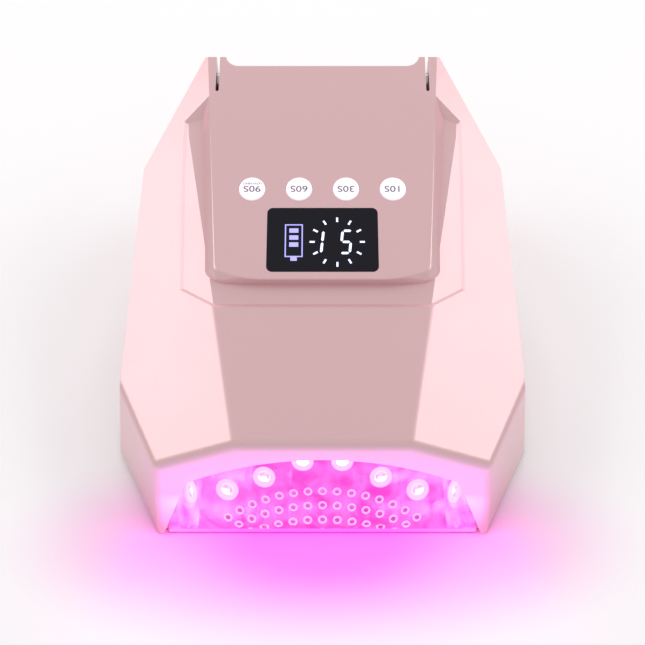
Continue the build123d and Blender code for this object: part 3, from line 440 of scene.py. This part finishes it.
# %% Circuit boards, cells and straps
def circuit(name, mask, track):
    """A circuit board: solder mask with tracks of another colour in a brick-like maze, over a fine grain."""
    material, tree, shader = new_material(name, mask, 0.35)
    where = node(tree, "ShaderNodeTexCoord")
    maze = node(tree, "ShaderNodeTexBrick", offset=0.37)
    maze.inputs["Color1"].default_value = mask
    maze.inputs["Color2"].default_value = mask
    maze.inputs["Mortar"].default_value = track
    maze.inputs["Scale"].default_value = 160.0
    maze.inputs["Mortar Size"].default_value = 0.03
    tree.links.new(where.outputs["Object"], maze.inputs["Vector"])
    tree.links.new(maze.outputs["Color"], shader.inputs["Base Color"])
    texture = add_group(tree, grain, Size=0.4 * MM, Gloss=0.35, Spread=0.1)
    tree.links.new(texture.outputs["Roughness"], shader.inputs["Roughness"])
    add_bump(tree, shader, texture.outputs["Height"], 0.003 * MM)
    return material


finish["circuit_board"] = circuit("circuit_board", srgb(24, 92, 58), srgb(56, 140, 92))
finish["lamp_board"] = circuit("lamp_board", srgb(238, 238, 240), srgb(214, 206, 190))

material, tree, shader = new_material("strap", srgb(30, 30, 33), 0.85, Sheen_Weight=0.3)
where = node(tree, "ShaderNodeTexCoord")
weave = node(tree, "ShaderNodeTexWave", bands_direction="X")
weave.inputs["Scale"].default_value = 350.0
tree.links.new(where.outputs["Object"], weave.inputs["Vector"])
add_bump(tree, shader, weave.outputs["Fac"], 0.1 * MM)
ramp = node(tree, "ShaderNodeValToRGB")
ramp.color_ramp.elements[0].color, ramp.color_ramp.elements[1].color = srgb(16, 16, 18), srgb(52, 52, 56)
tree.links.new(weave.outputs["Fac"], ramp.inputs["Fac"])
tree.links.new(ramp.outputs["Color"], shader.inputs["Base Color"])
finish["strap"] = material
print("finishes:", len(finish))

# %% Give every CAD node its finish
SLOT_OF = {part["node"]: part["material_slot"] for part in frame["record"]["subparts"]}
for name, part in frame["nodes"].items():
    part.data.materials.clear()
    part.data.materials.append(finish[SLOT_OF[name]])
print("finished", len(frame["nodes"]), "CAD nodes")

# %% [markdown]
# ## Display
# Behind the dark window a light panel shows a battery sign, the seconds left and a ring of marks
# that counts down. All of it lies in the window's own plane, so we draw it flat in millimetres
# round the window's middle, and one matrix lays it on the slope.

# %% A place on the panel
WINDOW_T = 1.2                                # thickness of the window, mm


def deck_place(middle, lift=0.0, turned=False):
    """Matrix from flat millimetres to the slope, lift mm above a point of it."""
    way = -1 if turned else 1
    axes = Matrix((Vector((way, 0, 0)), ALONG * way, PROUD)).transposed()
    return Matrix.Translation(middle + PROUD * lift * MM) @ axes.to_4x4() @ Matrix.Scale(MM, 4)


window_face = deck_place((WINDOW_LOW + WINDOW_HIGH) / 2, WINDOW_T / 2)
print("window face at", [round(value, 4) for value in window_face.translation])


# %% Flat shapes with a little thickness
def slab_mesh(name, outlines, place, material, thickness=0.06):
    """Each outline, a list of flat points, becomes a thin closed plate standing on the place."""
    bm = bmesh.new()
    for outline in outlines:
        ring = [bm.verts.new((x, y, 0)) for x, y in outline]
        face = bm.faces.new(ring)
        grown = bmesh.ops.extrude_face_region(bm, geom=[face])
        top = [item for item in grown["geom"] if isinstance(item, bmesh.types.BMVert)]
        bmesh.ops.translate(bm, verts=top, vec=(0, 0, thickness))
    bmesh.ops.recalc_face_normals(bm, faces=bm.faces)
    mesh = bpy.data.meshes.new(name)
    bm.to_mesh(mesh)
    bm.free()
    mesh.transform(place)
    piece = bpy.data.objects.new(name, mesh)
    piece.data.materials.append(material)
    scene.collection.objects.link(piece)
    return piece


def rectangle(x, y, width, length):
    """Corners of a rectangle round a middle point."""
    return [(x + a * width / 2, y + b * length / 2) for a, b in ((-1, -1), (1, -1), (1, 1), (-1, 1))]


finish["sign_light"] = lit("sign_light", srgb(150, 146, 220), srgb(150, 146, 226), 0.95, srgb(164, 160, 238))
finish["digit_light"] = lit("digit_light", srgb(214, 222, 250), srgb(206, 214, 250), 1.0, srgb(226, 234, 255))
print("display lights:", finish["sign_light"].name, finish["digit_light"].name)

# %% Battery sign
SIGN_X, SIGN_Y, SIGN_W, SIGN_L, LINE = -14.2, -0.6, 8.9, 18.2, 0.6
TIP_W, TIP_L, TIP_OUT = 3.2, 2.0, 1.05
CHARGE_W, CHARGE_L, CHARGE_TOP, CHARGE_PITCH = 4.5, 2.4, 5.0, 3.9
edges = [rectangle(SIGN_X, SIGN_Y + way * (SIGN_L - LINE) / 2, SIGN_W, LINE) for way in (1, -1)]
edges += [rectangle(SIGN_X + way * (SIGN_W - LINE) / 2, SIGN_Y, LINE, SIGN_L - 2 * LINE)
          for way in (1, -1)]
edges.append(rectangle(SIGN_X, SIGN_Y - SIGN_L / 2 - TIP_OUT, TIP_W, TIP_L))
bars = [rectangle(SIGN_X, CHARGE_TOP - CHARGE_PITCH * step, CHARGE_W, CHARGE_L) for step in range(3)]
battery_sign = slab_mesh("battery_sign", edges + bars, window_face, finish["sign_light"])
print("battery sign:", len(edges) + len(bars), "plates")

# %% Digits, each of seven slanting bars
DIGIT_W, DIGIT_H, BAR_W, BAR_GAP, SLANT = 4.6, 12.4, 1.25, 0.35, 0.10
LIT_BARS = {"1": "bc", "5": "afgcd"}
TENS_X, ONES_X, DIGIT_Y = -2.4, 11.7, -1.3


def digit_bars(digit, x, y):
    """Outlines of the lit bars of a seven-bar digit round a middle point."""
    side, half = DIGIT_W / 2, DIGIT_H / 2
    ends = {
        "a": ((-side, half), (side, half)), "g": ((-side, 0), (side, 0)),
        "d": ((-side, -half), (side, -half)),
        "f": ((-side, half), (-side, 0)), "b": ((side, half), (side, 0)),
        "e": ((-side, 0), (-side, -half)), "c": ((side, 0), (side, -half)),
    }
    outlines = []
    for bar in LIT_BARS[digit]:
        first, last = (Vector(point) for point in ends[bar])
        step = (last - first).normalized()
        across = Vector((-step.y, step.x)) * BAR_W / 2
        tip, shoulder = step * BAR_GAP, step * (BAR_GAP + BAR_W / 2)
        ring = [first + tip, first + shoulder - across, last - shoulder - across,
                last - tip, last - shoulder + across, first + shoulder + across]
        outlines.append([(x + point.x + SLANT * point.y, y + point.y) for point in ring])
    return outlines


time_left = digit_bars("1", TENS_X, DIGIT_Y) + digit_bars("5", ONES_X, DIGIT_Y)
digits = slab_mesh("time_digits", time_left, window_face, finish["digit_light"])
print("digits:", len(digits.data.polygons), "faces")

# %% [markdown]
# ### The ring of marks
# Twelve equal marks round a circle follow a rule, so a Geometry Nodes tree makes them: a circle
# of points, a small bar on each that looks to the middle, and one place for the whole ring.

# %% Geometry Nodes helpers
def new_tree(name, inputs):
    """A geometry tree with a Geometry in and out, and its named inputs."""
    tree = bpy.data.node_groups.new(name, "GeometryNodeTree")
    tree.interface.new_socket("Geometry", in_out="INPUT", socket_type="NodeSocketGeometry")
    for label, kind in inputs:
        tree.interface.new_socket(label, in_out="INPUT", socket_type=kind)
    tree.interface.new_socket("Geometry", in_out="OUTPUT", socket_type="NodeSocketGeometry")
    return tree, tree.nodes.new("NodeGroupInput"), tree.nodes.new("NodeGroupOutput")


def wire(tree, *pairs):
    """Link each pair of sockets, source first."""
    for source, target in pairs:
        tree.links.new(source, target)


def grow(name, tree, values, mesh=None, place=Matrix()):
    """Run a tree on a mesh, with its inputs set, and keep the result as a plain mesh piece."""
    start = bpy.data.objects.new(name + "_seed", mesh or bpy.data.meshes.new(name + "_seed"))
    scene.collection.objects.link(start)
    modifier = start.modifiers.new("tree", "NODES")
    modifier.node_group = tree
    for item in tree.interface.items_tree:
        if item.item_type == "SOCKET" and item.in_out == "INPUT" and item.name in values:
            modifier[item.identifier] = values[item.name]
    ready = start.evaluated_get(bpy.context.evaluated_depsgraph_get())
    made = bpy.data.meshes.new_from_object(ready)
    made.name = name
    start.modifiers.remove(modifier)
    bpy.data.objects.remove(start)
    made.transform(place)
    piece = bpy.data.objects.new(name, made)
    scene.collection.objects.link(piece)
    return piece


print("geometry helpers ready")

# %% Tree: bars round a circle
ring_tree, ring_in, ring_out = new_tree("marks_round_circle", [
    ("Count", "NodeSocketInt"), ("Radius", FLOAT), ("Length", FLOAT), ("Width", FLOAT),
    ("Thickness", FLOAT), ("Material", "NodeSocketMaterial")])
circle = node(ring_tree, "GeometryNodeMeshCircle", fill_type="NONE")
bar = node(ring_tree, "GeometryNodeMeshCube")
bar_size = node(ring_tree, "ShaderNodeCombineXYZ")
spread = node(ring_tree, "GeometryNodeInstanceOnPoints")
spot = node(ring_tree, "GeometryNodeInputPosition")
face_in = node(ring_tree, "FunctionNodeAlignRotationToVector", axis="X")
real = node(ring_tree, "GeometryNodeRealizeInstances")
paint = node(ring_tree, "GeometryNodeSetMaterial")
wire(ring_tree,
     (ring_in.outputs["Count"], circle.inputs["Vertices"]),
     (ring_in.outputs["Radius"], circle.inputs["Radius"]),
     (ring_in.outputs["Length"], bar_size.inputs["X"]), (ring_in.outputs["Width"], bar_size.inputs["Y"]),
     (ring_in.outputs["Thickness"], bar_size.inputs["Z"]), (bar_size.outputs["Vector"], bar.inputs["Size"]),
     (circle.outputs["Mesh"], spread.inputs["Points"]), (bar.outputs["Mesh"], spread.inputs["Instance"]),
     (spot.outputs["Position"], face_in.inputs["Vector"]),
     (face_in.outputs["Rotation"], spread.inputs["Rotation"]),
     (spread.outputs["Instances"], real.inputs["Geometry"]),
     (real.outputs["Geometry"], paint.inputs["Geometry"]),
     (ring_in.outputs["Material"], paint.inputs["Material"]),
     (paint.outputs["Geometry"], ring_out.inputs["Geometry"]))
DIAL_X, DIAL_Y, DIAL_R, MARK_L, MARK_W = 7.3, -1.3, 12.4, 2.5, 0.95
marks = grow("dial_marks", ring_tree,
             {"Count": 12, "Radius": DIAL_R, "Length": MARK_L, "Width": MARK_W, "Thickness": 0.1,
              "Material": finish["digit_light"]},
             place=window_face @ Matrix.Translation((DIAL_X, DIAL_Y, 0)))
print("marks:", len(marks.data.polygons), "faces")

# %% [markdown]
# ## Button caps
# The timer buttons carry printed times that read the right way up from behind the lamp, so from
# the front they stand upside down. A text object gives the letters. It is turned into a mesh
# first, then laid on its own button, and it rides with that button.

# %% Printed labels
INK_LIFT = 0.03
TEXT_SIZE, SMALL_TEXT = 4.9, 1.5
TEXT_STRETCH, SMALL_TEXT_Y = 1.25, -3.0
finish["ink"] = plastic("ink", srgb(96, 92, 104), 0.6, 0.05, 0.2 * MM, 0.001 * MM, 0.9)


def printed(name, lines, place, body):
    """Lines of raised print, each (words, size, width stretch, y), as one mesh on a body."""
    bm = bmesh.new()
    for words, size, stretch, y in lines:
        curve = bpy.data.curves.new(name, "FONT")
        curve.body, curve.size, curve.extrude = words, size, INK_LIFT / 2
        curve.align_x, curve.align_y = "CENTER", "CENTER"
        text = bpy.data.objects.new(name, curve)
        scene.collection.objects.link(text)
        ready = text.evaluated_get(bpy.context.evaluated_depsgraph_get())
        flat = bpy.data.meshes.new_from_object(ready)
        flat.transform(Matrix.Translation((0, y, 0)) @ Matrix.Diagonal((stretch, 1, 1, 1)))
        bm.from_mesh(flat)
        bpy.data.objects.remove(text)
    bmesh.ops.remove_doubles(bm, verts=bm.verts, dist=1e-5)
    mesh = bpy.data.meshes.new(name)
    bm.to_mesh(mesh)
    bm.free()
    mesh.transform(place)
    mesh.materials.clear()
    mesh.materials.append(finish["ink"])
    piece = bpy.data.objects.new(name, mesh)
    scene.collection.objects.link(piece)
    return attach(piece, body)


def cap_middle(button):
    """The middle of a button's round top, on the slope: the highest vertices along PROUD."""
    points = [vertex.co for vertex in frame["nodes"][button].data.vertices]
    top = max(point.dot(PROUD) for point in points)
    rim = [point for point in points if point.dot(PROUD) > top - 0.01 * MM]
    return Vector((sum(p.x for p in rim), sum(p.y for p in rim), sum(p.z for p in rim))) / len(rim)


for seconds in (90, 60, 30, 10):
    button = f"button_{seconds}s"
    lines = [(f"{seconds}S", TEXT_SIZE, TEXT_STRETCH, 0.0)]
    if seconds == 90:
        lines.append(("LOW HEAT", SMALL_TEXT, TEXT_STRETCH, SMALL_TEXT_Y))
    place = deck_place(cap_middle(button), INK_LIFT / 2, True)
    label = printed(f"label_{seconds}s", lines, place, body_of(button))
    print(label.name, "on", body_of(button))

# %% [markdown]
# ## Vent rims
# Air leaves the tunnel through rows of small holes, and each hole has a raised rim that catches
# the light. The holes stand on arcs of a circle, as in the sheet itself, so a short formula gives
# the points. A tree then puts the same small ring on every point, turned to face the hand.

# %% Where the holes are
VENT_ROWS = ((52.2, 15), (43.2, 13), (34.3, 11), (25.4, 7))      # how far in, and how many
VENT_PITCH, VENT_ARC = 8.1, 70.0
CEILING_HALF, CEILING_SIDE, CEILING_TOP, SHEET_GAP = 64.9, 35.1, 50.3, 0.6
rise = CEILING_TOP - CEILING_SIDE
ceiling_r = (CEILING_HALF ** 2 + rise ** 2) / (2 * rise)
ceiling_z = FOOT / MM + CEILING_TOP - ceiling_r                  # height of the arch's centre
points, facing = [], []
for apex, count in VENT_ROWS:
    for index in range(count):
        angle = (index - (count - 1) / 2) * VENT_PITCH / VENT_ARC
        x, y = VENT_ARC * sin(angle), SHELL_LOW.y / MM + apex - VENT_ARC * (1 - cos(angle))
        tip = asin(x / (ceiling_r + SHEET_GAP))
        outward = Vector((sin(tip), 0, cos(tip)))
        points.append((Vector((0, y, ceiling_z)) + outward * (ceiling_r + SHEET_GAP)) * MM)
        facing.append(outward * -1)
vents = bpy.data.meshes.new("vent_points")
vents.from_pydata(points, [], [])
direction = vents.attributes.new("facing", "FLOAT_VECTOR", "POINT")
direction.data.foreach_set("vector", [part for way in facing for part in way])
print("vent holes:", len(points))

# %% Tree: a ring on every point
rim_tree, rim_in, rim_out = new_tree("rims_on_points", [
    ("Radius", FLOAT), ("Bead", FLOAT), ("Flatness", FLOAT), ("Material", "NodeSocketMaterial")])
loop = node(rim_tree, "GeometryNodeCurvePrimitiveCircle")
loop.inputs["Resolution"].default_value = 20
bead = node(rim_tree, "GeometryNodeCurvePrimitiveCircle")
bead.inputs["Resolution"].default_value = 8
ring = node(rim_tree, "GeometryNodeCurveToMesh")
flat = node(rim_tree, "ShaderNodeCombineXYZ")
flat.inputs["X"].default_value = flat.inputs["Y"].default_value = 1.0
spread = node(rim_tree, "GeometryNodeInstanceOnPoints")
way = node(rim_tree, "GeometryNodeInputNamedAttribute", data_type="FLOAT_VECTOR")
way.inputs["Name"].default_value = "facing"
turn = node(rim_tree, "FunctionNodeAlignRotationToVector", axis="Z")
real = node(rim_tree, "GeometryNodeRealizeInstances")
paint = node(rim_tree, "GeometryNodeSetMaterial")
wire(rim_tree,
     (rim_in.outputs["Radius"], loop.inputs["Radius"]), (rim_in.outputs["Bead"], bead.inputs["Radius"]),
     (loop.outputs["Curve"], ring.inputs["Curve"]), (bead.outputs["Curve"], ring.inputs["Profile Curve"]),
     (rim_in.outputs["Flatness"], flat.inputs["Z"]), (flat.outputs["Vector"], spread.inputs["Scale"]),
     (rim_in.outputs["Geometry"], spread.inputs["Points"]), (ring.outputs["Mesh"], spread.inputs["Instance"]),
     (way.outputs["Attribute"], turn.inputs["Vector"]), (turn.outputs["Rotation"], spread.inputs["Rotation"]),
     (spread.outputs["Instances"], real.inputs["Geometry"]),
     (real.outputs["Geometry"], paint.inputs["Geometry"]),
     (rim_in.outputs["Material"], paint.inputs["Material"]),
     (paint.outputs["Geometry"], rim_out.inputs["Geometry"]))
RIM_R, RIM_BEAD, RIM_FLATNESS = 1.95 * MM, 0.5 * MM, 0.6
# The rims glow pink: a painted glow, standing in for the tunnel's light that they catch.
finish["rim_painted_glow"] = lit("rim_painted_glow", srgb(240, 190, 236), srgb(255, 176, 242), 0.85, srgb(255, 206, 250))
rims = grow("vent_rims", rim_tree,
            {"Radius": RIM_R, "Bead": RIM_BEAD, "Flatness": RIM_FLATNESS,
             "Material": finish["rim_painted_glow"]}, vents)
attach(rims, body_of("reflector"))
print("rims:", len(rims.data.polygons), "faces")

# %% Display pieces ride on the casing
for piece in (battery_sign, digits, marks):
    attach(piece, body_of("display_window"))
print("display pieces ride on", body_of("display_window"))

# %% Lamps inside the tunnel and in front of it
GLOW = (1.0, 0.32, 0.86)
VIOLET = (0.55, 0.22, 1.0)
FRONT = SHELL_LOW.y
BEZEL_SPREAD = radians(84)                     # it fades out before it grazes the floor
for name, place, target, size, power, color in (
    ("glow_floor", (0, FRONT - 0.006, 0.030), (0, FRONT - 0.0061, 0), (0.15, 0.01), 0.07, GLOW),
    ("glow_tunnel", (0, FRONT + 0.09, 0.045), (0, FRONT + 0.07, 0), (0.10, 0.10), 0.30, GLOW),
    ("glow_bezel", (0, FRONT - 0.04, 0.006), (0, FRONT, 0.040), (0.19, 0.02), 0.07, VIOLET),
):
    lamp = area_lamp(name, place, target, size, power, color)
    lamp.visible_glossy = False
    if name == "glow_bezel":
        lamp.data.spread = BEZEL_SPREAD
print("glow lamps added")
